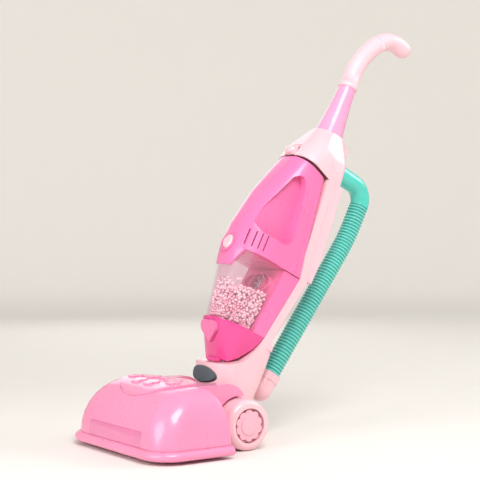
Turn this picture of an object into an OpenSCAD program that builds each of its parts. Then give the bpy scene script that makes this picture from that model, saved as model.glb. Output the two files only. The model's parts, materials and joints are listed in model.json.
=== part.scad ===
// Toy upright vacuum cleaner. Front is -Y, up is +Z, floor is Z = 0.

/* [Head] */
// Width of the head's body above the lip
head_w = 240; // [200:1:260]
// Front wall of the head, ahead of the wheel axle
head_front = 163; // [140:1:180]
// Rear wall of the head, ahead of the wheel axle
head_rear = 50; // [46:1:60]
// Height of the head's top above the floor
head_h = 93; // [91:1:110]
// Wall of the moulded shells
wall = 2; // [1.6:0.1:3]
// Plan radius of the head's front corners
head_corner = 34; // [28:1:44]
// How far the lip stands out from the body
lip_out = 8; // [5:0.5:10]
// Height of the lip bead
lip_h = 13; // [10:0.5:16]
// Gap between the lip and the floor
lip_gap = 5; // [4:0.5:8]
// Rise of the flower panel above the head
panel_rise = 3; // [2.5:0.5:6]

/* [Wheels] */
// Wheel radius
wheel_r = 35; // [30:1:36]
// Wheel width
wheel_w = 40; // [30:1:44]
// Radius of the hub recess
hub_r = 24; // [20:0.5:26]
// Depth of the hub recess
hub_depth = 8; // [6:0.5:10]
// Radius of the wheel axle
axle_r = 4; // [3:0.5:5]

/* [Hinge] */
// Height of the hinge above the floor
pivot_z = 62; // [60:1:66]
// Hinge behind the wheel axle
pivot_y = 8; // [6:1:12]
// Lean of the upright from vertical, in degrees
lean = 27; // [15:1:35]
// Radius of the hinge pins
pin_r = 4; // [3:0.5:5]

/* [Upright] */
// Width of the cradle and rails
frame_w = 90; // [86:1:90]
// Length of the upright from the hinge to the hood's top
hood_top = 434; // [425:1:450]
// Height of the hood
hood_h = 76; // [60:1:90]
// Radius of the handle tube at its top
tube_top_r = 13.4; // [11:0.1:14]
// Radius of the handle tube at the hood
tube_low_r = 23; // [18:0.5:24]
// Length of the handle tube
tube_len = 84; // [60:1:100]
// Radius of the grip
grip_r = 14; // [12:0.5:16]
// Straight length of the grip
grip_straight = 24; // [20:1:40]
// Radius of the grip's first, slow bend
grip_bend = 122; // [100:1:140]
// Turn of the first bend, in degrees
grip_turn = 35; // [25:1:40]
// Radius of the grip's second, tight bend
tip_bend = 48; // [40:1:60]
// Turn of the second bend, in degrees
tip_turn = 65; // [50:1:70]
// Radius of the hose over its ribs
hose_r = 15; // [12:0.5:16]
// Bore radius of the hose
hose_bore = 11; // [8:0.5:11]

/* [Hand-held unit] */
// Width of the hand-held unit
unit_w = 94; // [88:1:96]
// Wall of the clear chamber
clear_wall = 2; // [1.5:0.1:3]
// Depth of each hand recess
recess_depth = 20; // [12:1:24]
// Radius of the power button
button_r = 11; // [8:0.5:12]
// Travel of the power and heart buttons
button_travel = 2; // [1:0.5:2.5]

/* [Clearances] */
// Radial clearance of pins and axles
run_gap = 0.05; // [0.02:0.01:0.1]
// Gap between seated pieces
seat_gap = 0.15; // [0.1:0.05:0.3]
// Gap round moving pieces
move_gap = 0.5; // [0.4:0.1:1]

/* [Hidden] */
$fn = 64;
hull_fn = 32;
slab = 0.1;
pink = "hotpink";
pale = "lightpink";
deep = "deeppink";

// Head heights, rounds and hinge well
lip_top = lip_gap + lip_h;
tray_top = lip_gap + 4;
side_round = 38;
front_round = 62;
rear_round = 28;
form_steps = 8;
cheek_top = head_h - 2;
cheek_x = 64;
well_x = frame_w / 2 + move_gap;
well_r = 58;
plate = 3;
wheel_in = well_x + plate + 2.5;
arch_r = wheel_r + 3.5;
pad_pos = [85, -head_front + 23];
screw_x = head_w / 2 - 24;
screw_ys = [-head_front + 33, -head_rear - 20];
window = [70, lip_top - 1, 22];
window_t = 1.2;
intake = [160, 20];
ballast = [120, 66, 22];

// Y of the lip's front and of the grip's end set the middle of the part
tube_y = 7;
grip_low = hood_top + tube_len;
bend_end = [grip_bend * (1 - cos(grip_turn)), grip_straight + grip_bend * sin(grip_turn)];
tip_centre = bend_end + tip_bend * [cos(grip_turn), -sin(grip_turn)];
tip_end = tip_centre + tip_bend * [-cos(grip_turn + tip_turn), sin(grip_turn + tip_turn)];
grip_rear = pivot_y + (tube_y + tip_end[0]) * cos(lean) + (grip_low + tip_end[1]) * sin(lean) + grip_r;
lip_front = head_front + lip_out;
shift_y = (lip_front - grip_rear) / 2;

// Moves a shape from the axle's frame to the part's frame
module place() translate([0, shift_y, 0]) children();

// Moves a shape from the upright's frame, which starts at the hinge, to the part's frame
module upright_frame() place() translate([0, pivot_y, pivot_z]) rotate([-lean, 0, 0]) children();

module both_sides() {
  children();
  mirror([1, 0, 0]) children();
}

// A cylinder along X, centred on x
module bar_x(r, x0, x1, y = 0, z = 0) translate([x0, y, z]) rotate([0, 90, 0]) cylinder(r = r, h = x1 - x0);

// A profile drawn in Y and Z, extruded along X
module along_x(x0, x1) translate([x0, 0, 0]) rotate([90, 0, 90]) linear_extrude(x1 - x0) children();

function arc(cx, cy, rx, ry, a0, a1, n) =
  [for (i = [0:n]) let (a = a0 + (a1 - a0) * i / n) [cx + rx * cos(a), cy + ry * sin(a)]];

// Plan outline: half width, front, rear, front corner radii and rear corner radius
function outline(hw, yf, yr, fx, fy, rr) = concat(
  arc(hw - fx, yf + fy, fx, fy, -90, 0, 12),
  arc(hw - rr, yr - rr, rr, rr, 0, 90, 5),
  arc(rr - hw, yr - rr, rr, rr, 90, 180, 5),
  arc(fx - hw, yf + fy, fx, fy, 180, 270, 12));

module plan(s) polygon(outline(s[0], s[1], s[2], s[3], s[4], s[5]));

// Convex form through plan outlines at rising heights
module loft(layers) hull() for (s = layers) translate([0, 0, s[0]]) linear_extrude(slab)
  polygon(outline(s[1], s[2], s[3], s[4], s[5], s[6]));

// One layer of the head's crowned form, grown by g all round
function head_layer(phi, g) =
  let (k = 1 - cos(phi), front = -head_front + front_round * k - g, rear = -head_rear - rear_round * k + g)
  [lip_top + (head_h - lip_top + g) * sin(phi), head_w / 2 - side_round * k + g, front, rear,
   head_corner, min(head_corner, 0.8 * (rear - front)), 3];

module head_form(g) loft([for (i = [0:form_steps]) head_layer(90 * i / form_steps, g)]);

// Side profile of the cheeks that carry the hinge
cheek_front = -100;
module cheek_profile() polygon(concat(
  [[cheek_front, tray_top + seat_gap], [cheek_front, cheek_top - 4], [cheek_front + 10, cheek_top]],
  arc(-20, pivot_z - 2, 32, cheek_top - pivot_z + 2, 90, 0, 10), [[12, tray_top + seat_gap]]));

// Hollow of the cheeks, open to the head's inside
module cheek_hollow() translate([wall - cheek_x, cheek_front - 1, 0])
  cube([2 * (cheek_x - wall), 3 - cheek_front - head_rear, cheek_top - wall - 4]);

module window_box(gap) translate([-window[0] + gap, -head_front - 2, window[1] + gap])
  cube([2 * (window[0] - gap), 14, window[2] - 2 * gap]);

module screw_columns(r, z0, z1) both_sides() for (y = screw_ys)
  translate([screw_x, y, z0]) cylinder(r = r, h = z1 - z0);

module head_shell() color(pink) place() difference() {
  union() {
    difference() {
      head_form(0);
      translate([0, 0, -slab * 2]) head_form(-wall);
      difference() {
        window_box(0);
        head_form(-window_t - seat_gap);
      }
    }
    difference() {
      along_x(-cheek_x, cheek_x) cheek_profile();
      cheek_hollow();
      both_sides() bar_x(arch_r, well_x + plate, cheek_x + 1, 0, wheel_r);
      both_sides() translate([well_x + plate, -head_rear + 2, 0]) cube([60, 80, wheel_r]);
    }
    intersection() {
      head_form(0);
      screw_columns(4, tray_top + seat_gap, head_h - 10);
    }
    both_sides() bar_x(pin_r + 6, well_x, well_x + plate, pivot_y, pivot_z);
  }
  bar_x(well_r, -well_x, well_x, pivot_y, pivot_z);
  translate([-well_x, -head_rear + 6, 0]) cube([2 * well_x, 90, pivot_z]);
  bar_x(pin_r + run_gap, -cheek_x, cheek_x, pivot_y, pivot_z);
  bar_x(axle_r + run_gap, -cheek_x, cheek_x, 0, wheel_r);
  screw_columns(1.5 + run_gap, 0, tray_top + 14);
}

// Bead of the lip, drawn from the body wall outwards
module lip_profile() {
  translate([-4, lip_gap]) square([4 + lip_out - lip_h / 3, lip_h - seat_gap]);
  translate([lip_out - lip_h / 2.2, lip_gap + lip_h / 2.2]) circle(r = lip_h / 2.2);
}

module lip() {
  corner_x = head_w / 2 - head_corner;
  corner_y = head_corner - head_front;
  both_sides() {
    translate([0, -head_rear, 0]) rotate([90, 0, 0]) linear_extrude(-head_rear - corner_y)
      translate([head_w / 2, 0]) lip_profile();
    translate([corner_x, corner_y, 0]) rotate([0, 0, -90]) rotate_extrude(angle = 90)
      translate([head_corner, 0]) lip_profile();
    translate([0, corner_y, 0]) rotate([0, 0, -90]) rotate([90, 0, 0]) linear_extrude(corner_x)
      translate([head_corner, 0]) lip_profile();
  }
}

module base_tray() color(pink) place() difference() {
  union() {
    translate([0, 0, lip_gap]) linear_extrude(tray_top - lip_gap)
      plan([head_w / 2 - 3, -head_front + 3, -head_rear, head_corner - 3, head_corner - 3, 3]);
    translate([-well_x - plate, -head_rear - 1, lip_gap])
      cube([2 * (well_x + plate), head_rear + 13, tray_top - lip_gap]);
    lip();
  }
  translate([-intake[0] / 2, -head_front + 11, 0]) cube([intake[0], intake[1], tray_top + 1]);
  screw_columns(1.5 + run_gap, 0, tray_top + 1);
  screw_columns(3.2, 0, lip_gap + 2);
}

module glide_pads() color("whitesmoke") place() both_sides() translate([pad_pos[0], pad_pos[1] + 34, 0]) {
  translate([0, 0, 1]) cylinder(r = 9, h = lip_gap - 1);
  cylinder(r1 = 8, r2 = 9, h = 1);
}

module tray_screws() color("silver") place() {
  screw_columns(3, lip_gap, lip_gap + 2);
  screw_columns(1.5, lip_gap, tray_top + 12);
}

module ballast_weight() color("dimgray") place()
  translate([-ballast[0] / 2, -head_rear - 12 - ballast[1], tray_top]) cube(ballast);

module front_window() color("palevioletred") place() intersection() {
  window_box(seat_gap);
  difference() {
    head_form(0);
    head_form(-window_t);
  }
}

function petal_ring(n, r) = [for (i = [0:n - 1]) [r * cos(360 * i / n), r * sin(360 * i / n)]];

module flower(r) {
  rotate(90) for (p = petal_ring(5, r * 0.6)) translate(p) circle(r = r * 0.42, $fn = 20);
  circle(r = r * 0.35, $fn = 20);
}

panel_low = 60;
panel_y = -92;
panel_rx = 70;
panel_ry = 46;
// Flowers on the panel, mirrored to both sides: X, Y and radius
flower_spots = [[0, -76, 12], [16, -112, 12], [28, -84, 13], [50, -98, 11]];

// Top of the head, grown by g, with the cheeks that run on to the rear
module head_top(g) {
  head_form(g);
  translate([-cheek_x - g, cheek_front, lip_top]) cube([2 * (cheek_x + g), 80, cheek_top + g - lip_top]);
}

module flower_panel() color(pink) place() difference() {
  union() {
    intersection() {
      translate([0, 0, panel_low]) linear_extrude(head_h)
        polygon(arc(0, panel_y, panel_rx, panel_ry, 0, 354, 59));
      head_top(panel_rise);
    }
    intersection() {
      translate([0, 0, panel_low]) linear_extrude(head_h)
        both_sides() for (f = flower_spots) translate([f[0], f[1]]) flower(f[2]);
      head_top(panel_rise + 2);
    }
  }
  head_top(seat_gap);
}

module wheel_axle() color("silver") place() {
  bar_x(axle_r, -wheel_in - wheel_w + hub_depth + 1, wheel_in + wheel_w - hub_depth - 1, 0, wheel_r);
}

module hinge_pins() color("silver") place() both_sides() {
  bar_x(pin_r, well_x - 16, well_x + plate + 1.5, pivot_y, pivot_z);
  bar_x(pin_r + 2.5, well_x + plate, well_x + plate + 1.5, pivot_y, pivot_z);
}

// Half section of a wheel: radius to the right, axle upwards from the inner face
module wheel_profile() difference() {
  union() {
    translate([axle_r + run_gap, 0]) square([wheel_r - 6 - axle_r - run_gap, wheel_w]);
    translate([wheel_r - 20, 8]) square([20, wheel_w - 16]);
    for (y = [8, wheel_w - 8]) translate([wheel_r - 8, y]) circle(r = 8);
  }
  translate([0, wheel_w - hub_depth]) square([hub_r, hub_depth + 1]);
  translate([axle_r + 4, -1]) square([wheel_r - axle_r - 8, wheel_w - hub_depth - 3]);
}

module wheel_at_right() translate([wheel_in, 0, wheel_r]) rotate([0, 90, 0])
  rotate_extrude() wheel_profile();

module hub_at_right() translate([wheel_in + wheel_w - hub_depth, 0, wheel_r]) rotate([0, 90, 0]) {
  for (p = petal_ring(10, hub_r - 8)) translate([p[0], p[1], seat_gap]) cylinder(r = 6, h = hub_depth - 2);
  translate([0, 0, seat_gap]) cylinder(r = hub_r - 8, h = hub_depth - 2);
  cylinder(r = hub_r - 11, h = hub_depth - 1);
}

module wheel_left() color(pale) place() wheel_at_right();
module wheel_right() color(pale) place() mirror([1, 0, 0]) wheel_at_right();
module hub_left() color(pale) place() hub_at_right();
module hub_right() color(pale) place() mirror([1, 0, 0]) hub_at_right();

// Upright frame: Y runs rearwards and Z along the body, both from the hinge.

// Heights along the body, and the rear line of the hand-held unit, which the rails follow
bin_low = 49;
bin_top = 100;
band_low = 203;
band_top = 239;
hood_low = hood_top - hood_h;
unit_gap = 3;
// Height at a share of the way from the band to the hood
function above_band(share) = band_top + share * (hood_low - band_top);
unit_mid = above_band(0.51);
shoulder = above_band(0.89);
line_bin = 4.4;
line_band_low = 24.4;
line_band_top = 17;
line_top = 5.5;
rail_t = 14;
rail_gap = 0.6;
rail_low = bin_top + 4;
pocket_low = bin_top;
pocket_top = hood_low - 4;
cover_low_x = 20;

// Rear of the hand-held unit at a height, and points d behind it
function rail_at(z) = lookup(z, [[bin_top, line_bin], [band_low, line_band_low], [band_top, line_band_top],
  [hood_low, line_top]]);
function rail_side(d, zs) = [for (z = zs) [rail_at(z) + d, z]];
seam = rail_gap + rail_t;

// Rear of the cover at a height, and points d behind it
function cover_at(z) = lookup(z, [[66, 39], [bin_top, 36], [150, 46], [band_low, 47], [band_top, 48],
  [unit_mid, 43.5], [hood_low, 36]]);
function cover_side(d, zs) = [for (z = zs) [cover_at(z) + d, z]];

// Profile of the cradle and rails, seen from the side
module frame_profile() polygon(concat(
  [[-50, 35.5], [-48, 24], [-45, 8], [-34, -6]], arc(0, 0, 18, 18, 220, 320, 8),
  [[34, -2], [40, 10], [40, 52], [36, 66], [26, 90]],
  rail_side(seam, [rail_low, band_low, band_top, hood_low]),
  rail_side(rail_gap, [hood_low, band_top, band_low, bin_top]),
  [[0, 79], [-6, 66.5], [-13, 56], [-31.5, 43]]));

// Pocket in the rear of the rails
module rail_pocket() along_x(wall - frame_w / 2, frame_w / 2 - wall) polygon(concat(
  rail_side(rail_gap + plate, [pocket_low, band_low, band_top, pocket_top]),
  rail_side(seam + 1, [pocket_top, band_top, band_low, pocket_low])));

// Hollow of the cradle
module cradle_hollow() polygon([[-46, 31], [-45, 23], [-41, 10], [-30, -1], [-12, -8], [12, -8], [30, 4],
  [60, 16], [60, 50], [23, 84], [3, 78], [-3, 64], [-11, 52], [-30, 39]]);

// Rounded plan of the cradle, whose front leans out as it rises
module cradle_plan(g) loft([[-40, frame_w / 2 + g, -14 - g, 40 + g, frame_w / 2 - 3, 34, 28],
  [bin_top - 10, frame_w / 2 + g, -70 - g, 40 + g, frame_w / 2 - 3, 34, 28]]);

// Screws that hold the rear cover to the rails
cover_screw_x = frame_w / 2 - 11;
cover_screw_zs = [band_low + 20, hood_low - 20];
module cover_bores(r, from_rear) both_sides() for (z = cover_screw_zs)
  translate([cover_screw_x, cover_at(z) - from_rear, z]) rotate([-90, 0, 0])
    cylinder(r = r, h = from_rear + 1);

// Slanted lower edge of the hood: it rises to the front
hood_flat = 10;
hood_rise = 0.28;
function hood_edge(y) = hood_low + hood_rise * (hood_flat - y);

// Hood that covers the top of the hand-held unit, grown by g
spigot_r = 17;
hood_roof = 6;
module hood_form(g) loft([
  [hood_low - (g < 0 ? 1 : 0), frame_w / 2 + g, -49 - g, 36 + g, 30, 28, 10],
  [hood_low + 36, frame_w / 2 - 2 + g, -39 - g, 35 + g, 30, 28, 12],
  [hood_top - slab - seat_gap - (g < 0 ? hood_roof : 0), tube_low_r + 2 + g,
   tube_y - tube_low_r - 3 - g, tube_y + tube_low_r + 2 + g, tube_low_r - 1, tube_low_r - 1, 20]]);

module hood() difference() {
  hood_form(0);
  hood_form(-wall);
  translate([0, tube_y, hood_top - 12]) cylinder(r = spigot_r + seat_gap, h = 20);
  along_x(-60, 60) polygon([[hood_flat, hood_low - 2], [hood_flat, hood_low], [-70, hood_edge(-70)],
    [-70, hood_low - 2]]);
}

// Side region behind the seam between front frame and rear cover
module rear_region(gap) along_x(-60, 60) polygon([[-3 + gap, hood_top + 1], [-3 + gap, hood_top - 19],
  [5.4 + gap, hood_low + 20], [line_top + rail_gap + rail_t + gap, hood_low + 13],
  [line_top + rail_gap + rail_t + gap, hood_low - 1], [80, hood_low - 1], [80, hood_top + 1]]);

pedal_z = 21;
pedal_reach = 3;
module pedal_hole(g) translate([0, -28, pedal_z]) rotate([90, 0, 0]) linear_extrude(30)
  polygon(arc(0, 0, 28 + g, 11 + g, 0, 352, 44));

// Latch in the hood's front: width, depth and height
latch = [22, 12, 15];
latch_front = -54;
latch_low = hood_edge(-48);
module latch_notch(g) translate([-latch[0] / 2 - g, -70, latch_low - 12])
  cube([latch[0] + 2 * g, 32, latch[2] + 17 + g]);

module front_frame() color(pale) upright_frame() difference() {
  union() {
    difference() {
      intersection() {
        along_x(-frame_w / 2, frame_w / 2) frame_profile();
        union() {
          cradle_plan(0);
          translate([-60, -60, bin_top - 12]) cube([120, 160, 400]);
        }
      }
      intersection() {
        along_x(wall - frame_w / 2, frame_w / 2 - wall) cradle_hollow();
        cradle_plan(-wall);
      }
      rail_pocket();
    }
    both_sides() bar_x(pin_r + 5, frame_w / 2 - 17, frame_w / 2);
    intersection() {
      along_x(-frame_w / 2, frame_w / 2) frame_profile();
      cover_bores(4, 30);
    }
    difference() {
      hood();
      rear_region(-seat_gap);
    }
  }
  bar_x(pin_r + run_gap, -60, 60);
  pedal_hole(0);
  latch_notch(move_gap);
  cover_bores(1.5 + run_gap, 22);
}

module foot_pedal() color("slategray") upright_frame() {
  intersection() {
    pedal_hole(-move_gap);
    difference() {
      cradle_plan(pedal_reach);
      cradle_plan(-pedal_reach);
    }
  }
  translate([0, -39, pedal_z]) rotate([-90, 0, 0]) cylinder(r = 5, h = 14);
}

// Block of the latch with a rounded bulge in front for the thumb
latch_bulge = [latch[2] / 2 - 0.5, latch[0] / 2 - 0.6];
module release_latch() color(pale) upright_frame() translate([0, latch_front + latch[2] / 2, latch_low]) {
  translate([-latch[0] / 2, 0, 0]) cube([latch[0], latch[1] - latch[2] / 2, latch[2]]);
  translate([0, 0, latch[2] / 2]) rotate([0, 90, 0]) rotate_extrude()
    polygon(arc(0, 0, latch_bulge[0], latch_bulge[1], -90, 90, 16));
}

hook_w = 12;
elbow_z = hood_low + 35;
elbow_bend = 27;
elbow_y = 83;
elbow_r = 14.5;

// Upper and lower parts of the rear cover, d outside or inside their rear and sides
module cover_upper(d, front, low, top) along_x(-frame_w / 2 - d, frame_w / 2 + d) polygon(concat(
  rail_side(front, [low, band_top, top]), cover_side(d, [top, unit_mid, band_top, low])));
module cover_lower(d, front, low, top) along_x(-cover_low_x - d, cover_low_x + d) polygon(concat(
  rail_side(front, [low, top]), cover_side(d, [top, 150, low])));

module rear_cover() color(pale) upright_frame() difference() {
  union() {
    difference() {
      union() {
        cover_upper(0, seam + seat_gap, band_low + 2, hood_low);
        cover_lower(0, seam + seat_gap, rail_low, band_low + 3);
      }
      cover_upper(-wall, seam - 1, band_low + 5, pocket_top);
      cover_lower(-wall, seam - 1, pocket_low, band_low + 6);
    }
    intersection() {
      cover_upper(0, seam + seat_gap, band_low + 2, hood_low);
      cover_bores(4, 20);
    }
    intersection() {
      hood();
      rear_region(seat_gap);
    }
    along_x(-hook_w / 2, hook_w / 2) polygon([[31, hood_top - 6], [45, hood_top + 2], [52, hood_top - 9],
      [42, hood_top - 15], [43, hood_top - 27], [33.5, hood_top - 34]]);
  }
  translate([0, 20, elbow_z]) rotate([-90, 0, 0]) cylinder(r = elbow_r + seat_gap, h = 40);
  cover_bores(1.5 + run_gap, 22);
  cover_bores(3 + seat_gap, 2.5);
}

module cover_screws() color("silver") upright_frame() both_sides() for (z = cover_screw_zs)
  translate([cover_screw_x, cover_at(z), z]) rotate([90, 0, 0]) {
    translate([0, 0, 0.5]) cylinder(r = 3, h = 2);
    translate([0, 0, 2]) cylinder(r = 1.5, h = 19);
  }

// Flared tube: radius and height
tube_flare = [[tube_low_r, 0], [tube_low_r - 2.6, 14], [tube_top_r + 4.4, 34], [tube_top_r + 2, 56],
  [tube_top_r, tube_len]];
tube_inside = [for (i = [len(tube_flare) - 1:-1:0]) tube_flare[i] - [wall, 0]];
module handle_tube() color(pink) upright_frame() translate([0, tube_y, hood_top]) {
  rotate_extrude() polygon(concat(tube_flare, tube_inside));
  rotate_extrude() translate([spigot_r - wall, -8]) square([wall, 8 + wall]);
  rotate_extrude() translate([spigot_r - wall, 0]) square([tube_low_r - spigot_r + 1, wall]);
  rotate_extrude() translate([8, tube_len - 6]) square([tube_top_r - 9, 6]);
  rotate_extrude() translate([8, tube_len - 6]) square([2, 20]);
}

grip_wall = 3;
collar = [1.2, 8];
cane_sides = 16;
cane_steps = 8;
dome_steps = 4;
cane_turn = grip_turn + tip_turn;

// Heading of the cane from straight up, and its centre, at step i of both bends
function cane_heading(i) = i <= cane_steps ? grip_turn * i / cane_steps :
  grip_turn + tip_turn * (i - cane_steps) / cane_steps;
function cane_point(i) = let (a = cane_heading(i)) i <= cane_steps ?
  [grip_bend * (1 - cos(a)), grip_straight + grip_bend * sin(a)] :
  tip_centre + tip_bend * [-cos(a), sin(a)];

// Ring round point p at heading a
function cane_ring(p, a, r) = [for (k = [0:cane_sides - 1]) let (b = 360 * k / cane_sides, u = r * sin(b))
  [r * cos(b), p[0] + u * cos(a), p[1] - u * sin(a)]];

// Rings of one face of the cane: the bends, then the dome of the end, at radius r
function cane_face(r) = concat([for (i = [0:2 * cane_steps]) cane_ring(cane_point(i), cane_heading(i), r)],
  [for (i = [1:dome_steps]) let (f = 88 * i / dome_steps)
    cane_ring(tip_end + r * sin(f) * [sin(cane_turn), cos(cane_turn)], cane_turn, r * cos(f))]);

// Triangles between two rings of n points, with their first points a and b
function band(a, b, n) = [for (i = [0:n - 1], k = [0, 1]) let (j = (i + 1) % n)
  k == 0 ? [a + i, b + j, b + i] : [a + i, a + j, b + j]];
function flip(faces) = [for (f = faces) [f[0], f[2], f[1]]];
function cap(a, n) = [for (i = [1:n - 2]) [a, a + i, a + i + 1]];

// Cane of the grip: collar, straight, two bends and a domed end, with a bore open below
module handle_grip() color(pale) upright_frame() translate([0, tube_y, grip_low]) {
  collar_rings = [[0, collar[0]], [collar[1], collar[0]], [collar[1], 0]];
  outer = concat([for (c = collar_rings) cane_ring([0, c[0]], 0, grip_r + c[1])], cane_face(grip_r));
  inner = concat([cane_ring([0, 0], 0, grip_r - grip_wall)], cane_face(grip_r - grip_wall));
  n = len(outer);
  m = len(inner);
  s = cane_sides;
  faces = concat([for (i = [0:n - 2]) each band(s * i, s * (i + 1), s)],
    [for (i = [0:m - 2]) each flip(band(s * (n + i), s * (n + i + 1), s))],
    flip(band(0, s * n, s)), flip(cap(s * (n - 1), s)), cap(s * (n + m - 1), s));
  polyhedron([for (r = concat(outer, inner)) each r], flip(faces));
}

module hose_elbow() color("mediumturquoise") upright_frame() {
  translate([0, 32, elbow_z]) rotate([-90, 0, 0]) difference() {
    cylinder(r = elbow_r, h = elbow_y - 32);
    translate([0, 0, -1]) cylinder(r = hose_bore, h = elbow_y);
  }
  translate([0, elbow_y, elbow_z - elbow_bend]) rotate([90, 0, 90]) rotate_extrude(angle = 90)
    translate([elbow_bend, 0]) difference() {
      circle(r = elbow_r);
      circle(r = hose_bore);
    }
}

// Hose route: straight down, a slow bend, then straight to the cuff
hose_start = [elbow_y + elbow_bend, elbow_z - elbow_bend];
hose_lead = 30;
hose_turn = 9.5;
hose_arc_r = 300;
hose_tail = 222;
rib_pitch = 5;
hose_arc = hose_arc_r * hose_turn * PI / 180;
hose_len = hose_lead + hose_arc + hose_tail;
ribs = floor(hose_len / rib_pitch);
arc_end = hose_start + [-hose_arc_r * (1 - cos(hose_turn)), -hose_lead - hose_arc_r * sin(hose_turn)];

// Heading of the hose from straight down, and its point, at a distance along the route
function hose_heading(d) = d < hose_lead ? 0 : min(hose_turn, (d - hose_lead) / hose_arc_r * 180 / PI);
function hose_point(d) =
  d < hose_lead ? hose_start - [0, d] :
  d < hose_lead + hose_arc ? let (a = hose_heading(d))
    hose_start + [-hose_arc_r * (1 - cos(a)), -hose_lead - hose_arc_r * sin(a)] :
  arc_end - (d - hose_lead - hose_arc) * [sin(hose_turn), cos(hose_turn)];

// Ring of eight points round the route
function hose_ring(d, r) = let (a = hose_heading(d), p = hose_point(d))
  [for (i = [0:7]) let (b = 45 * i, u = r * sin(b)) [r * cos(b), p[0] + u * cos(a), p[1] - u * sin(a)]];

rib_rings = [for (i = [0:2 * ribs]) [hose_len * i / (2 * ribs), i % 2 == 0 ? hose_r - 2 : hose_r]];
bore_every = 4;
bore_rings = [for (i = [0:bore_every:2 * ribs]) hose_len * i / (2 * ribs)];

module hose() color("mediumturquoise") upright_frame() {
  n = len(rib_rings);
  m = len(bore_rings);
  points = concat([for (s = rib_rings) each hose_ring(s[0], s[1])],
    [for (d = bore_rings) each hose_ring(d, hose_bore)]);
  faces = concat([for (i = [0:n - 2]) each band(8 * i, 8 * (i + 1), 8)],
    [for (i = [0:m - 2]) each flip(band(8 * (n + i), 8 * (n + i + 1), 8))],
    flip(band(0, 8 * n, 8)), band(8 * (n - 1), 8 * (n + m - 1), 8));
  polyhedron(points, faces);
}

// Cuff frame: Z runs on along the hose from its end
cuff_r = 17.5;
cuff_ring_l = 12;
cuff_cap_l = 16;
cap_r = cuff_r - 0.6;
module cuff_frame() upright_frame() translate([0, hose_point(hose_len)[0], hose_point(hose_len)[1]])
  rotate([180 - hose_turn, 0, 0]) children();

module cuff_ring() color(pale) cuff_frame() difference() {
  cylinder(r = cuff_r, h = cuff_ring_l);
  translate([0, 0, -1]) cylinder(r = hose_bore, h = cuff_ring_l + 2);
}

// The cap is closed by a dome, and a neck joins it to the cradle's rear
neck_r = 9;
neck_y = 40;
cap_end = hose_point(hose_len) - (cuff_ring_l + cuff_cap_l) * [sin(hose_turn), cos(hose_turn)];
module cuff_cap() color(pale) {
  cuff_frame() translate([0, 0, cuff_ring_l]) rotate_extrude() difference() {
    union() {
      square([cap_r, cuff_cap_l]);
      translate([0, cuff_cap_l]) intersection() {
        circle(r = cap_r);
        square(cap_r);
      }
    }
    square([hose_bore, cuff_cap_l - 4]);
  }
  upright_frame() translate([0, neck_y, cap_end[1]]) rotate([-90, 0, 0])
    cylinder(r = neck_r, h = cap_end[0] - neck_y);
}

// Hand-held unit, grown by g; its top follows the hood's slanted edge
unit_high = hood_low + 17;
module unit_form(g) intersection() {
  loft([
    [band_low - 27, unit_w / 2 - 2 + g, -82 - g, line_band_low - 6 + g, 40, 46, 4],
    [band_low, unit_w / 2 + g, -86 - g, line_band_low + g, 42, 50, 4],
    [band_top, unit_w / 2 + g, -86 - g, line_band_top + g, 42, 50, 4],
    [unit_mid, unit_w / 2 - 2.5 + g, -73 - g, 11 + g, 38, 44, 6],
    [shoulder, unit_w / 2 - 5 + g, -56.5 - g, 6.4 + g, 34, 38, 8],
    [unit_high, unit_w / 2 - 8 + g, -44 - g, 3.4 + g, 30, 30, 8]]);
  translate([0, 0, min(0, g) - unit_gap]) along_x(-70, 70)
    polygon([[60, 0], [60, hood_low], [hood_flat, hood_low], [-120, hood_edge(-120)], [-120, 0]]);
  along_x(-70, 70) polygon(concat([[-120, 150], [-120, unit_high + 1], [line_top + g, unit_high + 1]],
    rail_side(g, [hood_low, band_top, band_low, 150])));
}

// Teardrop outline of the hand recess, seen from the side: Y and share of the way to the hood
recess_points = [[-77, 0.14], [-76, 0.07], [-71, 0.01], [-62, -0.025], [-24, -0.042], [-17, -0.017],
  [-13, 0.034], [-13, 0.11], [-22, 0.7], [-26, 0.8], [-32, 0.857], [-39, 0.857], [-46, 0.8], [-64, 0.445]];
module recess_outline() polygon([for (p = recess_points) [p[0], above_band(p[1])]]);

module recess_cut() both_sides() along_x(unit_w / 2 - recess_depth, unit_w / 2 + 5) recess_outline();
module recess_walls() both_sides() along_x(unit_w / 2 - recess_depth - wall, unit_w / 2 + 5)
  offset(delta = wall) recess_outline();

// Side region of the back plate, behind a line parallel to the rear
back_t = 12;
module back_region(gap) along_x(-70, 70) polygon([[line_band_low - back_t + gap, band_low - 40],
  [line_band_low - back_t + gap, band_low], [line_band_top - back_t + gap, band_top],
  [line_top - back_t + gap, hood_low], [line_top - back_t + gap, unit_high + 1],
  [90, unit_high + 1], [90, band_low - 40]]);

// What lies below the band: only the bib at the front stays
module below_band(gap) {
  translate([-70, -66, band_low - 40]) cube([140, 140, 40 + gap]);
  both_sides() translate([0, 0, band_low]) rotate([90, 0, 0]) linear_extrude(200, center = true)
    polygon([[18, -40], [18, -25], [31, gap], [70, gap], [70, -40]]);
}

button_z = 209;
button_y = -86;
slit_ys = [-78, -70, -62, -54];
module vent_slits() both_sides() for (y = slit_ys) translate([14, y, band_low + 7]) cube([50, 1.8, 24]);

module handheld_shell() color(pink) upright_frame() difference() {
  union() {
    difference() {
      unit_form(0);
      unit_form(-wall);
    }
    intersection() {
      unit_form(0);
      union() {
        recess_walls();
        translate([-60, -100, band_low]) cube([120, 200, wall]);
      }
    }
  }
  recess_cut();
  back_region(-seat_gap);
  below_band(0);
  vent_slits();
  translate([0, button_y + 14, button_z]) rotate([90, 0, 0]) cylinder(r = button_r + move_gap, h = 40);
}

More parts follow.
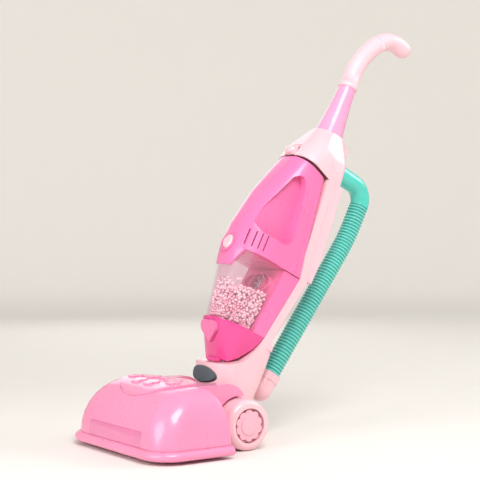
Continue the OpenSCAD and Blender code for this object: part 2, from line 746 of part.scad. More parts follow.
module handheld_back() color(pink) upright_frame() difference() {
  intersection() {
    difference() {
      unit_form(0);
      unit_form(-wall);
    }
    back_region(0);
  }
  translate([-70, -100, 0]) cube([140, 200, band_low]);
  back_bores(1.4 + run_gap);
}

// Rear of the hand-held unit's inside at a height
function inside_at(z) = lookup(z, [[band_top, line_band_top - wall], [unit_mid, 11 - wall],
  [shoulder, 6.4 - wall]]);

// Screws that hold the battery box to the back plate
back_screw_x = 26;
back_screw_zs = [above_band(0.11), above_band(0.495)];
module back_bores(r) both_sides() for (z = back_screw_zs)
  translate([back_screw_x, inside_at(z) - 10, z]) rotate([-90, 0, 0]) cylinder(r = r, h = 12);

module back_screws() color("silver") upright_frame() {
  back_bores(1.4);
  both_sides() for (z = back_screw_zs) translate([back_screw_x, inside_at(z) - 5, z]) rotate([90, 0, 0])
    cylinder(r = 2.6, h = 1.6);
}

// Line of the flange where the clear chamber meets its back
flange_low = -16;
flange_top = -6;
module flange_front() along_x(-70, 70) polygon([[flange_low, bin_top], [flange_top, band_low],
  [flange_top, band_low + 5], [-120, band_low + 5], [-120, bin_top - 5], [flange_low, bin_top - 5]]);

module chamber_form(g) loft([
  [bin_top + 0.3 - (g < 0 ? 1 : 0), unit_w / 2 - 5.5 + g, -64 - g, 10, 38, 44, 3],
  [band_low - 27, unit_w / 2 - 5 + g, -79 - g, 15, 38, 46, 3],
  [band_low - 0.5 + (g < 0 ? 1 : 0), unit_w / 2 - 3 + g, -83 - g, 15, 40, 48, 3]]);

module clear_chamber() color("mistyrose", 0.4) upright_frame() intersection() {
  difference() {
    chamber_form(0);
    chamber_form(-clear_wall);
  }
  flange_front();
}

duct_z = 178;
duct_r = 14;
duct_len = 8;
motor_r = 10;
// Raised oval rim round the duct's mouth: half width, half height and thickness
duct_rim = [32, 17, 2.5];
module duct_oval(inset) polygon(arc(0, 0, duct_rim[0] - inset, duct_rim[1] - inset, 0, 352, 44));
module chamber_back() color(pink) upright_frame() difference() {
  union() {
    difference() {
      along_x(2 - unit_w / 2, unit_w / 2 - 2)
        polygon([[flange_low + seat_gap, bin_top + 0.3], [flange_top + seat_gap, band_low - 0.5],
          [line_band_low, band_low - 0.5], [line_bin, bin_top + 0.3]]);
      along_x(2 + wall - unit_w / 2, unit_w / 2 - 2 - wall) polygon([[flange_low + plate, bin_top + plate],
        [flange_top + plate, band_low - plate], [60, band_low - plate], [60, bin_top + plate]]);
    }
    translate([0, flange_top - duct_len, duct_z]) rotate([-90, 0, 0]) {
      cylinder(r = duct_r + 2, h = 2 + duct_len - flange_top);
      linear_extrude(duct_len + 2) difference() {
        duct_oval(0);
        duct_oval(duct_rim[2]);
      }
    }
    translate([0, 0, duct_z]) rotate([-90, 0, 0]) cylinder(r = motor_r + 3, h = 15);
  }
  translate([0, -40, duct_z]) rotate([-90, 0, 0]) cylinder(r = duct_r, h = 40);
  translate([0, -1, duct_z]) rotate([-90, 0, 0]) cylinder(r = motor_r + seat_gap, h = 18);
}

module motor() color("silver") upright_frame() translate([0, 0, duct_z]) rotate([-90, 0, 0]) {
  cylinder(r = motor_r, h = 16);
  translate([0, 0, -11]) cylinder(r = 1.5, h = 12);
}

module fan() color("white") upright_frame() translate([0, -9.5, duct_z]) rotate([-90, 0, 0]) difference() {
  union() {
    cylinder(r = 4, h = 8);
    for (a = [0:60:300]) rotate([0, 0, a]) translate([0, -0.8, 0]) cube([duct_r - 1.5, 1.6, 8]);
  }
  translate([0, 0, -1]) cylinder(r = 1.5 + run_gap, h = 10);
}

module bin_form(g) loft([
  [bin_low - g, 28 + g, -31 - g, -25 + g, 20, 4, 2],
  [58.6, 34 + g, -39.5 - g, -15.5 + g, 28, 16, 2],
  [80, 41 + g, -54 - g, -1 + g, 36, 34, 3],
  [bin_top - 6, 45 + g, -65.5 - g, line_bin - 1 + g, 42, 48, 3],
  [bin_top + (g < 0 ? -wall : 0), 45.5 + g, -67.5 - g, line_bin + g, 42, 48, 3]]);

// Front of the bin's slanted wall, where the heart sits: Z points out of the wall
heart_pos = [-58.3, 81];
heart_tilt = 122;
module heart_frame() translate([0, heart_pos[0], heart_pos[1]]) rotate([heart_tilt, 0, 0]) children();

heart_w = 21;
heart_back = -7;
heart_t = 9;
module heart_outline(g) offset(delta = g) {
  translate([0, -2]) rotate(45) square(heart_w, center = true);
  for (s = [-1, 1]) translate([s * heart_w * 0.354, heart_w * 0.354 - 2]) circle(r = heart_w / 2, $fn = 32);
}

// Rocker under the bin, on which the hand-held unit tips forward
rocker = [3, 14, -32, 47.5];
module bin_base() color(deep) upright_frame() difference() {
  union() {
    bin_form(0);
    bar_x(rocker[0], -rocker[1], rocker[1], rocker[2], rocker[3]);
  }
  bin_form(-wall);
  heart_frame() translate([0, 0, heart_back - button_travel - 2]) linear_extrude(20) heart_outline(move_gap);
}

module heart_button() color(pink) upright_frame() heart_frame() translate([0, 0, heart_back])
  linear_extrude(heart_t) heart_outline(0);

// Button frame: Z runs rearwards, into the unit, from the button's front
module button_frame(y) upright_frame() translate([0, y, button_z]) rotate([-90, 0, 0]) children();

module power_button() color(pale) button_frame(button_y - 3) {
  cylinder(r1 = button_r - 3, r2 = button_r, h = 2);
  translate([0, 0, 2]) cylinder(r = button_r, h = 1.4);
  translate([0, 0, 3]) cylinder(r = 3.5, h = 10.5);
}

module button_bezel() color(pink) button_frame(button_y - 1.4) difference() {
  cylinder(r = button_r + 4, h = 4);
  translate([0, 0, -1]) cylinder(r = button_r + move_gap, h = 8);
}

module power_switch() color("dimgray") upright_frame()
  translate([-6, button_y + 13.5, band_low + wall + seat_gap]) cube([12, 9, 16]);

// Box from the back plate inwards, with a flange for the screws
box_low = above_band(0.06);
box_top = above_band(0.546);
box_front = -10;
box_t = 3;
cell_x = 9;
cell_y = -4;
cell_r = 7.2;
function box_side(d, zs) = [for (z = zs) [inside_at(z) - d, z]];
module battery_box() color("dimgray") upright_frame() difference() {
  union() {
    along_x(-20, 20) polygon(concat([[box_front, box_low], [box_front, box_top]],
      box_side(0, [box_top, box_low])));
    along_x(-31, 31) polygon(concat(box_side(4, [box_low, box_top]), box_side(0, [box_top, box_low])));
  }
  for (x = [-cell_x, cell_x]) translate([x, cell_y, box_low + box_t])
    cylinder(r = cell_r + 0.2, h = box_top - box_low - 2 * box_t);
  translate([-16, box_front - 10, box_low + box_t]) cube([32, 14, box_top - box_low - 2 * box_t]);
  back_bores(1.4 + run_gap);
}

module batteries() color("gold") upright_frame()
  for (x = [-cell_x, cell_x]) translate([x, cell_y, box_low + box_t + 0.2]) {
    cylinder(r = cell_r, h = box_top - box_low - 2 * box_t - 3);
    cylinder(r = 2.5, h = box_top - box_low - 2 * box_t - 1);
  }

// Pile of beads in the chamber, d inside its faces, open below
bead_floor = bin_top + 0.5;
module bead_form(d, low) intersection() {
  chamber_form(-clear_wall - 0.4 - d);
  along_x(-60, 60) polygon([[flange_low - 0.4 - d, low], [flange_low + 5 - d, 160 - d], [-50, 160 - d],
    [-62, 150 - d], [-90, 147 - d], [-90, low]]);
}

module bead_pile() color("white") upright_frame() difference() {
  bead_form(0, bead_floor);
  bead_form(5, bead_floor - 1);
}

head_shell();
base_tray();
flower_panel();
front_window();
ballast_weight();
glide_pads();
wheel_axle();
hinge_pins();
tray_screws();
wheel_left();
wheel_right();
hub_left();
hub_right();
front_frame();
rear_cover();
handle_tube();
handle_grip();
hose_elbow();
hose();
cuff_ring();
cuff_cap();
foot_pedal();
release_latch();
handheld_shell();
handheld_back();
clear_chamber();
chamber_back();
bin_base();
heart_button();
power_button();
button_bezel();
power_switch();
motor();
fan();
battery_box();
batteries();
bead_pile();
cover_screws();
back_screws();
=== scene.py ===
"""Toy upright vacuum cleaner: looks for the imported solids, seen as in the photograph."""
import json
import math
import random

import bpy
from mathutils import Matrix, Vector


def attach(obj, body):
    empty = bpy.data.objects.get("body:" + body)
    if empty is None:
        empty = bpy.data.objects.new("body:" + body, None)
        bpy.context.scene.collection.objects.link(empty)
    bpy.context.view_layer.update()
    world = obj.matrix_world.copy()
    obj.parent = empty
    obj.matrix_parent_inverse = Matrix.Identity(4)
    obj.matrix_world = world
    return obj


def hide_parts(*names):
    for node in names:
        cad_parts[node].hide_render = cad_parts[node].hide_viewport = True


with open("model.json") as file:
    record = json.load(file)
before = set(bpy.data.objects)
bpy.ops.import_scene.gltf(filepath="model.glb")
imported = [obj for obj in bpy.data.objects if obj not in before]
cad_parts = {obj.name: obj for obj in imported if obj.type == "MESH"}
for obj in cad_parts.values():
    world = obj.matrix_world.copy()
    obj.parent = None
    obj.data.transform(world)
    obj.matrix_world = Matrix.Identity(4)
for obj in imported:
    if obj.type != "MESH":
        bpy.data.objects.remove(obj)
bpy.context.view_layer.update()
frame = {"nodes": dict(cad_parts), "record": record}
scene = bpy.context.scene

# Upright's frame, in millimetres from the hinge: t runs rearwards and s along the leaning body
LEAN = math.radians(27)
AXLE_Y = -103.0745
HINGE = (AXLE_Y + 8, 62)
TUBE_T = 7
GRIP_LOW = 518

# Camera: place in metres with Y from the wheel axle, lens and sensor in millimetres, and the picture's shift
# and side in pixels
CAMERA_PLACE = (1.5085, -1.0132, 0.318)
CAMERA_TURN = math.radians(54.9)
LENS = 95.1
SENSOR = 36
SHIFT_PIXELS = -20
PICTURE_PIXELS = 480


def at(t, s, x=0.0):
    """Point of the upright's frame in the row frame, in metres."""
    y = HINGE[0] + t * math.cos(LEAN) + s * math.sin(LEAN)
    z = HINGE[1] - t * math.sin(LEAN) + s * math.cos(LEAN)
    return Vector((x / 1000, y / 1000, z / 1000))


def add_camera():
    """Level camera that sees the part as the photo does."""
    data = bpy.data.cameras.new("camera")
    data.sensor_width = SENSOR
    data.lens = LENS
    data.shift_y = SHIFT_PIXELS / PICTURE_PIXELS
    camera = bpy.data.objects.new("camera", data)
    x, y, z = CAMERA_PLACE
    camera.location = (x, y + AXLE_Y / 1000, z)
    camera.rotation_euler = (math.pi / 2, 0, CAMERA_TURN)
    scene.collection.objects.link(camera)
    scene.camera = camera


def mesh_object(name, verts, faces):
    """A smooth mesh object in the row frame."""
    mesh = bpy.data.meshes.new(name)
    mesh.from_pydata(verts, [], faces)
    mesh.update()
    for poly in mesh.polygons:
        poly.use_smooth = True
    obj = bpy.data.objects.new(name, mesh)
    scene.collection.objects.link(obj)
    return obj


def sweep(name, path, headings, radii, sides, closed_end=False):
    """Tube along points of the upright's side plane; a heading is measured from along the body."""
    verts = []
    faces = []
    for (t, s), heading, radius in zip(path, headings, radii):
        for k in range(sides):
            turn = 2 * math.pi * k / sides
            across = radius * math.sin(turn)
            beside = radius * math.cos(turn)
            verts.append(at(t + across * math.cos(heading), s - across * math.sin(heading), beside))
    for ring in range(len(path) - 1):
        for k in range(sides):
            a = ring * sides + k
            b = ring * sides + (k + 1) % sides
            faces.append((a, b, b + sides, a + sides))
    if closed_end:
        faces.append(tuple(range((len(path) - 1) * sides, len(path) * sides)))
    return mesh_object(name, verts, faces)


# Hose from the elbow to the cuff: straight lead, slow turn and straight tail
HOSE_START = (110, 366)
HOSE_LEAD = 30
HOSE_TURN = math.radians(9.5)
HOSE_ARC_R = 300
HOSE_TAIL = 222
HOSE_ARC = HOSE_ARC_R * HOSE_TURN
HOSE_LEN = HOSE_LEAD + HOSE_ARC + HOSE_TAIL
HOSE_R = 15
HOSE_SIDES = 32
RIBS = 60
RIB_DEPTH = 2.6
RINGS_PER_RIB = 8
# Power of the ribs' wave: below 1 it makes round ribs with narrow grooves
RIB_POWER = 0.5


def hose_heading(d):
    """Turn of the hose at a distance from its start."""
    return min(max(0.0, (d - HOSE_LEAD) / HOSE_ARC_R), HOSE_TURN)


def hose_point(d):
    """Point of the hose's middle line at a distance from its start."""
    if d <= HOSE_LEAD:
        return (HOSE_START[0], HOSE_START[1] - d)
    turn = hose_heading(d)
    t = HOSE_START[0] - HOSE_ARC_R * (1 - math.cos(turn))
    s = HOSE_START[1] - HOSE_LEAD - HOSE_ARC_R * math.sin(turn)
    rest = max(0.0, d - HOSE_LEAD - HOSE_ARC)
    return (t - rest * math.sin(turn), s - rest * math.cos(turn))


def store_shade(obj, values):
    """Keep one number per point, which the material turns into painted shade, a darker tone."""
    shade = obj.data.attributes.new("shade", "FLOAT", "POINT")
    shade.data.foreach_set("value", values)


def add_hose():
    """Ribbed hose: round ribs with narrow grooves, which are coloured darker as painted shade."""
    count = RIBS * RINGS_PER_RIB
    along = [HOSE_LEN * i / count for i in range(count + 1)]
    radii = []
    for i in range(count + 1):
        wave = 0.5 - 0.5 * math.cos(2 * math.pi * i / RINGS_PER_RIB)
        radii.append(HOSE_R - RIB_DEPTH + RIB_DEPTH * wave ** RIB_POWER)
    path = [hose_point(d) for d in along]
    hose = sweep("ribbed_hose", path, [hose_heading(d) for d in along], radii, HOSE_SIDES)
    # Painted shade: points deeper in a groove are coloured darker
    store_shade(hose, [(HOSE_R - radius) / RIB_DEPTH for radius in radii for _ in range(HOSE_SIDES)])
    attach(hose, "upright")
    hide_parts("hose")
    return hose


# Grip: collar, straight, slow bend, tight bend and round end, a little inside the solid's flat facets
GRIP_R = 13.85
GRIP_SIDES = 48
GRIP_STRAIGHT = 24
# Radius and turn in degrees of each bend
GRIP_BENDS = ((122, 35), (48, 65))
BEND_STEPS = 24
# The round end stops just short of its tip, where a small flat face closes it
TIP_TURN = math.radians(88)
TIP_STEPS = 10
COLLAR_LEN = 8
COLLAR_R = GRIP_R + 1.2
# Rounding of the collar's lower and upper edge, along the grip and across it
LOW_EDGE = (0.6, 0.5)
TOP_EDGE = (0.8, 0.7)
# Lower face of the collar reaches this far inside the grip, and its upper face slopes by the step
COLLAR_LIP = 3
COLLAR_STEP = 0.1
# Height above the grip's lower end and radius of each ring of the collar
COLLAR_RINGS = (
    (0, GRIP_R - COLLAR_LIP),
    (0, COLLAR_R - LOW_EDGE[1]),
    (LOW_EDGE[0], COLLAR_R),
    (COLLAR_LEN - TOP_EDGE[0], COLLAR_R),
    (COLLAR_LEN, COLLAR_R - TOP_EDGE[1]),
    (COLLAR_LEN + COLLAR_STEP, GRIP_R),
)


def bend_rings(start, turn, bend, degrees):
    """Rings of one bend of the grip, from its start to its end: point, heading and radius."""
    centre = (start[0] + bend * math.cos(turn), start[1] - bend * math.sin(turn))
    rings = []
    for i in range(BEND_STEPS + 1):
        heading = turn + math.radians(degrees) * i / BEND_STEPS
        point = (centre[0] - bend * math.cos(heading), centre[1] + bend * math.sin(heading))
        rings.append((point, heading, GRIP_R))
    return rings


def tip_rings(start, turn):
    """Rings of the grip's round end after its start: point, heading and radius."""
    rings = []
    for i in range(1, TIP_STEPS + 1):
        rise = TIP_TURN * i / TIP_STEPS
        ahead = GRIP_R * math.sin(rise)
        point = (start[0] + ahead * math.sin(turn), start[1] + ahead * math.cos(turn))
        rings.append((point, turn, GRIP_R * math.cos(rise)))
    return rings


def add_grip():
    """Round cane grip with its collar."""
    rings = [((TUBE_T, GRIP_LOW + rise), 0.0, radius) for rise, radius in COLLAR_RINGS]
    end = (TUBE_T, GRIP_LOW + GRIP_STRAIGHT)
    turn = 0.0
    for bend, degrees in GRIP_BENDS:
        rings += bend_rings(end, turn, bend, degrees)
        turn += math.radians(degrees)
        end = rings[-1][0]
    rings += tip_rings(end, turn)
    path, headings, radii = zip(*rings)
    grip = sweep("cane_grip", path, headings, radii, GRIP_SIDES, closed_end=True)
    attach(grip, "upright")
    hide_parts("handle_grip")
    return grip


# Clear chamber: height, half width, front and front corner radii of its outside
CHAMBER = ((100.3, 41.5, -64, 38, 44), (176, 42, -79, 38, 46), (203, 44, -83, 40, 48))
# From the chamber's outside to the bead space: its wall and a clearance
CHAMBER_WALL = 2.6
# Rear of the bead space: its place at a low height, the rise in which it goes 1 mm rearwards, and the
# beads' clearance
REAR_T = -16
REAR_LOW = 100
REAR_SLOPE = 10.3
REAR_GAP = 2.8
BEAD_R = 2.2
# Spacing of the beads, and the rows and layers of close packing as shares of it
BEAD_GAP = 4.55
ROW_SHARE = 0.866
LAYER_SHARE = 0.816
BEAD_JITTER = 1.0
BEAD_SEED = 7
# Pile: lowest bead, height searched, front row, rows, columns to each side, and the depth down to which beads
# are made
PILE_LOW = 103
PILE_HEIGHT = 75
PILE_FRONT = -84
PILE_ROWS = 24
PILE_COLUMNS = 11
PILE_SKIN = 9
# Place from front to rear and height of the pile's top
PILE_TOP = ((-90, 145), (-62, 148), (-50, 157), (-9, 160))
# Loose beads in front of the pile's top: tries, and ranges across, from front to rear and above the pile
LOOSE_TRIES = 70
LOOSE_X = (-34, 34)
LOOSE_T = (-74, -58)
LOOSE_RISE = (1, 14)


def chamber_at(s):
    """Half width, front and corner radii of the chamber's outside at a height."""
    low, high = (CHAMBER[0], CHAMBER[1]) if s < CHAMBER[1][0] else (CHAMBER[1], CHAMBER[2])
    f = (s - low[0]) / (high[0] - low[0])
    return [a + (b - a) * f for a, b in zip(low[1:], high[1:])]


def depth_in_chamber(x, t, s):
    """How far a point lies inside the bead space, from its sides and front; negative outside."""
    half, front, corner_x, corner_t = chamber_at(s)
    half -= CHAMBER_WALL
    front += CHAMBER_WALL
    if t <= front:
        return -1.0
    ahead = front + corner_t - t
    reach = half
    if ahead > 0:
        reach = half - corner_x + corner_x * math.sqrt(max(0.0, 1 - (ahead / corner_t) ** 2))
    return min(reach - abs(x), t - front)


def pile_top(t):
    """Height of the pile, which falls from the rear to the front."""
    for (t0, s0), (t1, s1) in zip(PILE_TOP, PILE_TOP[1:]):
        if t <= t1:
            return s0 + (s1 - s0) * max(0.0, t - t0) / (t1 - t0)
    return PILE_TOP[-1][1]


def pile_grid():
    """Close-packed places in the chamber, with the rear of the bead space at each: x, t, s and rear."""
    row_step = BEAD_GAP * ROW_SHARE
    layer_step = BEAD_GAP * LAYER_SHARE
    for layer in range(int(PILE_HEIGHT / layer_step)):
        s = PILE_LOW + layer * layer_step
        rear = REAR_T + (s - REAR_LOW) / REAR_SLOPE - REAR_GAP
        for row in range(PILE_ROWS):
            t = PILE_FRONT + row * row_step + (layer % 2) * row_step / 3
            for column in range(-PILE_COLUMNS, PILE_COLUMNS + 1):
                yield (column + 0.5 * ((row + layer) % 2)) * BEAD_GAP, t, s, rear


def pile_spots(rng):
    """Beads of the pile's outer layers: centre and depth in the pile."""
    spots = []
    for *place, rear in pile_grid():
        x, t, s = (v + rng.uniform(-BEAD_JITTER, BEAD_JITTER) for v in place)
        inside = depth_in_chamber(x, t, s) - BEAD_R
        below = pile_top(t) - s
        if inside < 0 or below < 0 or t > rear or s < PILE_LOW:
            continue
        deep = min(inside, below, rear - t)
        if deep < PILE_SKIN:
            spots.append((x, t, s, min(1.0, deep / BEAD_GAP)))
    return spots


def loose_spots(rng):
    """Single beads above the front of the pile: centre and no depth."""
    spots = []
    for _ in range(LOOSE_TRIES):
        t = rng.uniform(*LOOSE_T)
        x = rng.uniform(*LOOSE_X)
        s = pile_top(t) + rng.uniform(*LOOSE_RISE)
        if depth_in_chamber(x, t, s) - BEAD_R > 0:
            spots.append((x, t, s, 0.0))
    return spots


def unit_sphere(rings=6, sides=10):
    """Points and faces of a small ball of radius 1."""
    verts = [(0, 0, 1)]
    for i in range(1, rings):
        polar = math.pi * i / rings
        out = math.sin(polar)
        for k in range(sides):
            turn = 2 * math.pi * k / sides
            verts.append((out * math.cos(turn), out * math.sin(turn), math.cos(polar)))
    verts.append((0, 0, -1))
    last = len(verts) - 1
    lowest = 1 + (rings - 2) * sides
    faces = []
    for k in range(sides):
        after = (k + 1) % sides
        faces.append((0, 1 + k, 1 + after))
        for a in range(1, lowest, sides):
            faces.append((a + k, a + sides + k, a + sides + after, a + after))
        faces.append((last, lowest + after, lowest + k))
    return verts, faces


def add_beads():
    """Single beads that can be seen in the chamber, with painted shade on the beads deep in the pile."""
    ball, ball_faces = unit_sphere()
    rng = random.Random(BEAD_SEED)
    spots = pile_spots(rng) + loose_spots(rng)
    verts = []
    faces = []
    depths = []
    for x, t, s, deep in spots:
        first = len(verts)
        depths += [deep] * len(ball)
        centre = at(t, s, x)
        verts += [centre + Vector(v) * (BEAD_R / 1000) for v in ball]
        faces += [tuple(first + i for i in face) for face in ball_faces]
    beads = mesh_object("pearly_beads", verts, faces)
    # Painted shade: beads deeper in the pile are coloured darker
    store_shade(beads, depths)
    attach(beads, "handheld")
    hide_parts("bead_pile")
    return beads


# Plastic: soft clouds of colour, and the share of their strength that lightens
CLOUD_SCALE = 14.0
CLOUD_DETAIL = 3.0
CLOUD_ENDS = (0.3, 0.7)
CLOUD_LIGHT = 0.6
# Changes of roughness over the surface, as shares of the material's own
WEAR_SCALE = 60.0
WEAR_DETAIL = 5.0
WEAR_SHARES = (0.85, 1.2)
# Height of the grain in metres, and the roughness of the clear coat
GRAIN_HEIGHT = 0.0004
COAT_ROUGHNESS = 0.08
# Share of a clear wall that shines, while the rest lets light through
CLEAR_SHINE = 0.07


def link(tree, a, out, b, into):
    """Join one node's output to another's input."""
    tree.links.new(a.outputs[out], b.inputs[into])


def shaded(colour, factor):
    """A colour made lighter or darker, with full cover."""
    return tuple(min(1.0, c * factor) for c in colour) + (1.0,)


def noise(tree, coords, scale, detail=2.0):
    """Noise in the object's own coordinates."""
    node = tree.nodes.new("ShaderNodeTexNoise")
    node.inputs["Scale"].default_value = scale
    node.inputs["Detail"].default_value = detail
    link(tree, coords, "Object", node, "Vector")
    return node


def clouded_colour(tree, coords, colour, cloud):
    """Colour with soft shade changes."""
    clouds = noise(tree, coords, CLOUD_SCALE, CLOUD_DETAIL)
    ramp = tree.nodes.new("ShaderNodeValToRGB")
    ends = ramp.color_ramp.elements
    ends[0].position = CLOUD_ENDS[0]
    ends[0].color = shaded(colour, 1.0 - cloud)
    ends[1].position = CLOUD_ENDS[1]
    ends[1].color = shaded(colour, 1.0 + CLOUD_LIGHT * cloud)
    link(tree, clouds, "Fac", ramp, "Fac")
    return ramp


def worn_roughness(tree, coords, roughness):
    """Roughness that varies a little."""
    wear = noise(tree, coords, WEAR_SCALE, WEAR_DETAIL)
    rough = tree.nodes.new("ShaderNodeMapRange")
    rough.inputs["To Min"].default_value = roughness * WEAR_SHARES[0]
    rough.inputs["To Max"].default_value = roughness * WEAR_SHARES[1]
    link(tree, wear, "Fac", rough, "Value")
    return rough


def grained_edges(tree, coords, grain, grain_scale, edge):
    """Fine grain over edges that look rounded."""
    fine = noise(tree, coords, grain_scale)
    rounded = tree.nodes.new("ShaderNodeBevel")
    rounded.inputs["Radius"].default_value = edge
    bump = tree.nodes.new("ShaderNodeBump")
    bump.inputs["Strength"].default_value = grain
    bump.inputs["Distance"].default_value = GRAIN_HEIGHT
    link(tree, fine, "Fac", bump, "Height")
    link(tree, rounded, "Normal", bump, "Normal")
    return bump


def plastic(name, colour, roughness=0.28, coat=0.5, grain=0.015, grain_scale=700.0, edge=0.0009,
            metallic=0.0, cloud=0.05):
    """Moulded plastic or metal: soft shade changes, fine grain and rounded edges."""
    mat = bpy.data.materials.new(name)
    mat.use_nodes = True
    tree = mat.node_tree
    bsdf = tree.nodes["Principled BSDF"]
    coords = tree.nodes.new("ShaderNodeTexCoord")
    link(tree, clouded_colour(tree, coords, colour, cloud), "Color", bsdf, "Base Color")
    link(tree, worn_roughness(tree, coords, roughness), "Result", bsdf, "Roughness")
    link(tree, grained_edges(tree, coords, grain, grain_scale, edge), "Normal", bsdf, "Normal")
    bsdf.inputs["Coat Weight"].default_value = coat
    bsdf.inputs["Coat Roughness"].default_value = COAT_ROUGHNESS
    bsdf.inputs["Metallic"].default_value = metallic
    return mat


def painted_shade_plastic(name, colour, dark, **looks):
    """Plastic with painted shade: it turns to a darker tone where the stored shade is high."""
    mat = plastic(name, colour, **looks)
    tree = mat.node_tree
    bsdf = tree.nodes["Principled BSDF"]
    plain = bsdf.inputs["Base Color"].links[0].from_socket
    shade = tree.nodes.new("ShaderNodeAttribute")
    shade.attribute_name = "shade"
    mix = tree.nodes.new("ShaderNodeMixRGB")
    # The dark tone is painted shade
    mix.inputs["Color2"].default_value = dark + (1.0,)
    link(tree, shade, "Fac", mix, "Fac")
    tree.links.new(plain, mix.inputs["Color1"])
    link(tree, mix, "Color", bsdf, "Base Color")
    return mat


def clear_plastic(name, tint):
    """Clear moulded plastic: mostly see-through, with a glossy share and faint flow marks."""
    mat = plastic(name, tint, roughness=0.08, coat=0.8, grain=0.01)
    tree = mat.node_tree
    through = tree.nodes.new("ShaderNodeBsdfTransparent")
    through.inputs["Color"].default_value = tint + (1.0,)
    mix = tree.nodes.new("ShaderNodeMixShader")
    mix.inputs["Fac"].default_value = CLEAR_SHINE
    link(tree, through, "BSDF", mix, 1)
    link(tree, tree.nodes["Principled BSDF"], "BSDF", mix, 2)
    link(tree, mix, "Shader", tree.nodes["Material Output"], "Surface")
    return mat


PINK = (0.92, 0.29, 0.49)
HOT = (0.89, 0.19, 0.44)
DEEP = (0.78, 0.06, 0.29)
PALE = (0.94, 0.56, 0.62)
GRIP_PALE = (0.95, 0.58, 0.64)
TUBE = (0.90, 0.36, 0.58)
HUB = (0.93, 0.46, 0.56)
WINDOW = (0.79, 0.21, 0.42)
CLEAR = (0.985, 0.885, 0.93)
PEARL = (0.98, 0.93, 0.90)
# Painted shade for the beads deep in the pile
PEARL_PAINTED_SHADE = (0.86, 0.44, 0.52)
TURQUOISE = (0.09, 0.66, 0.55)
# Hose tones: the ribs' own tone, and painted shade for the grooves
HOSE_RIB = (0.17, 0.74, 0.64)
HOSE_GROOVE_PAINTED_SHADE = (0.0, 0.34, 0.28)
GREY = (0.09, 0.125, 0.14)
WHITE = (0.84, 0.84, 0.82)
BLACK = (0.012, 0.012, 0.014)
STEEL = (0.50, 0.51, 0.53)
IRON = (0.05, 0.05, 0.055)
BATTERY = (0.60, 0.42, 0.10)

SLOT_MATERIALS = {
    "pink_gloss": plastic("pink_gloss", PINK),
    "hot_pink": plastic("hot_pink", HOT),
    "deep_pink": plastic("deep_pink", DEEP, roughness=0.2),
    "pale_gloss": plastic("pale_gloss", PALE, roughness=0.32),
    "grip_pale": plastic("grip_pale", GRIP_PALE, roughness=0.45, coat=0.1, grain=0.08),
    "tube_pink": plastic("tube_pink", TUBE),
    "hub_pink": plastic("hub_pink", HUB, roughness=0.3),
    "window_tint": plastic("window_tint", WINDOW, roughness=0.1, coat=0.9, grain=0.01),
    "clear_pink": clear_plastic("clear_pink", CLEAR),
    "pearl_white": painted_shade_plastic("pearl_white", PEARL, PEARL_PAINTED_SHADE, roughness=0.22, coat=0.8, edge=0.0002),
    "turquoise_gloss": plastic("turquoise_gloss", TURQUOISE),
    "turquoise_hose": painted_shade_plastic("turquoise_hose", HOSE_RIB, HOSE_GROOVE_PAINTED_SHADE, roughness=0.38, coat=0.2,
                               edge=0.0003),
    "pedal_grey": plastic("pedal_grey", GREY, roughness=0.6, coat=0.0, grain=0.35, grain_scale=900.0),
    "white_plastic": plastic("white_plastic", WHITE, roughness=0.4, coat=0.1),
    "black_plastic": plastic("black_plastic", BLACK, roughness=0.5, coat=0.1),
    "steel": plastic("steel", STEEL, roughness=0.32, coat=0.0, metallic=1.0),
    "dark_iron": plastic("dark_iron", IRON, roughness=0.7, coat=0.0, grain=0.5, grain_scale=300.0),
    "battery_metal": plastic("battery_metal", BATTERY, roughness=0.35, metallic=0.8),
}

# Points closer than the gap, in metres, are joined, and edges sharper than the angle stay sharp
WELD_GAP = 0.00004
SHARP_ANGLE = math.radians(30)


def finish_node(obj, slot):
    """Shade one solid smoothly up to its true edges."""
    obj.data.materials.clear()
    obj.data.materials.append(SLOT_MATERIALS[slot])
    for poly in obj.data.polygons:
        poly.use_smooth = True
    weld = obj.modifiers.new("joins", "WELD")
    weld.merge_threshold = WELD_GAP
    split = obj.modifiers.new("edges", "EDGE_SPLIT")
    split.split_angle = SHARP_ANGLE
    obj.modifiers.new("broad_faces", "WEIGHTED_NORMAL")


# Round studio bowl, in metres: floor radius, round between floor and wall, wall height
BOWL_FLOOR = 3.4
BOWL_ROUND = 1.0
BOWL_TOP = 4.0
BOWL_SIDES = 72
# Rings of the flat floor as shares of its radius, and degrees between the rings of the round
FLOOR_RINGS = (0.3, 0.6, 1.0)
ROUND_STEP = 10
PAPER = (0.84, 0.81, 0.77)
# Glow of the far paper, and the distances from the part where it starts and is full
PAPER_GLOW = 0.38
GLOW_REACH = (0.7, 3.6)


def paper():
    """Plain paper, lifted towards white far from the part, for the camera alone."""
    mat = plastic("paper", PAPER, roughness=0.8, coat=0.0, grain=0.1, cloud=0.012)
    tree = mat.node_tree
    bsdf = tree.nodes["Principled BSDF"]
    coords = tree.nodes.new("ShaderNodeTexCoord")
    reach = tree.nodes.new("ShaderNodeVectorMath")
    reach.operation = "LENGTH"
    link(tree, coords, "Object", reach, 0)
    lift = tree.nodes.new("ShaderNodeMapRange")
    lift.inputs["From Min"].default_value = GLOW_REACH[0]
    lift.inputs["From Max"].default_value = GLOW_REACH[1]
    lift.inputs["To Max"].default_value = PAPER_GLOW
    link(tree, reach, "Value", lift, "Value")
    rays = tree.nodes.new("ShaderNodeLightPath")
    glow = tree.nodes.new("ShaderNodeMath")
    glow.operation = "MULTIPLY"
    link(tree, rays, "Is Camera Ray", glow, 0)
    link(tree, lift, "Result", glow, 1)
    bsdf.inputs["Emission Color"].default_value = PAPER + (1.0,)
    link(tree, glow, "Value", bsdf, "Emission Strength")
    return mat


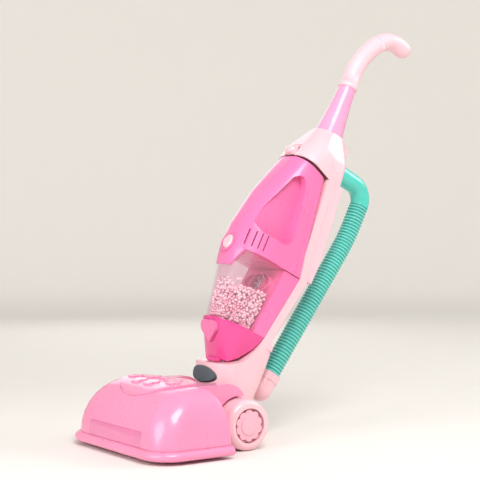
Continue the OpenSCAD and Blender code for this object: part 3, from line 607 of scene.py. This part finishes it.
def bowl_profile():
    """Radius and height of each ring of the bowl."""
    profile = [(share * BOWL_FLOOR, 0.0) for share in FLOOR_RINGS]
    for degrees in range(ROUND_STEP, 91, ROUND_STEP):
        turn = math.radians(degrees)
        radius = BOWL_FLOOR + BOWL_ROUND * math.sin(turn)
        profile.append((radius, BOWL_ROUND - BOWL_ROUND * math.cos(turn)))
    profile.append((BOWL_FLOOR + BOWL_ROUND, BOWL_TOP))
    return profile


def add_stage():
    """Pale round bowl, so that every side has floor and backdrop."""
    profile = bowl_profile()
    verts = []
    for radius, z in profile:
        for k in range(BOWL_SIDES):
            turn = 2 * math.pi * k / BOWL_SIDES
            verts.append((radius * math.cos(turn), radius * math.sin(turn), z))
    faces = [tuple(range(BOWL_SIDES))]
    for ring in range(len(profile) - 1):
        a = ring * BOWL_SIDES
        b = a + BOWL_SIDES
        for k in range(BOWL_SIDES):
            after = (k + 1) % BOWL_SIDES
            faces.append((a + k, b + k, b + after, a + after))
    bowl = mesh_object("studio_bowl", verts, faces)
    bowl.data.materials.append(paper())


# Round lights, aimed at the part's middle: place and width in metres, and power in watts
LIGHT_TARGET = Vector((0, 0, 0.3))
LIGHTS = {
    "key": ((1.3, -0.5, 1.7), 1.1, 30),
    "front": ((0.3, -2.0, 0.9), 1.4, 19),
    "rim": ((0.6, 1.6, 1.3), 0.9, 13),
    "back": ((-1.7, 0.8, 1.1), 1.4, 6),
}
SKY = (1.0, 0.98, 0.96, 1.0)
SKY_STRENGTH = 0.45


def add_lights():
    """Four round lights."""
    for name, (place, width, power) in LIGHTS.items():
        data = bpy.data.lights.new(name, "AREA")
        data.shape = "DISK"
        data.size = width
        data.energy = power
        light = bpy.data.objects.new(name, data)
        scene.collection.objects.link(light)
        light.location = place
        light.rotation_euler = (LIGHT_TARGET - Vector(place)).to_track_quat("-Z", "Y").to_euler()


def add_world():
    """Even, slightly warm light from all round."""
    world = bpy.data.worlds.new("studio")
    world.use_nodes = True
    background = world.node_tree.nodes["Background"]
    background.inputs["Color"].default_value = SKY
    background.inputs["Strength"].default_value = SKY_STRENGTH
    scene.world = world


scene.view_settings.view_transform = "Standard"
add_camera()
made = {"turquoise_hose": add_hose(), "grip_pale": add_grip(), "pearl_white": add_beads()}
slots = {part["node"]: part["material_slot"] for part in frame["record"]["subparts"]}
for node_name, node_object in frame["nodes"].items():
    finish_node(node_object, slots[node_name])
for slot_name, piece in made.items():
    piece.data.materials.append(SLOT_MATERIALS[slot_name])
add_stage()
add_lights()
add_world()
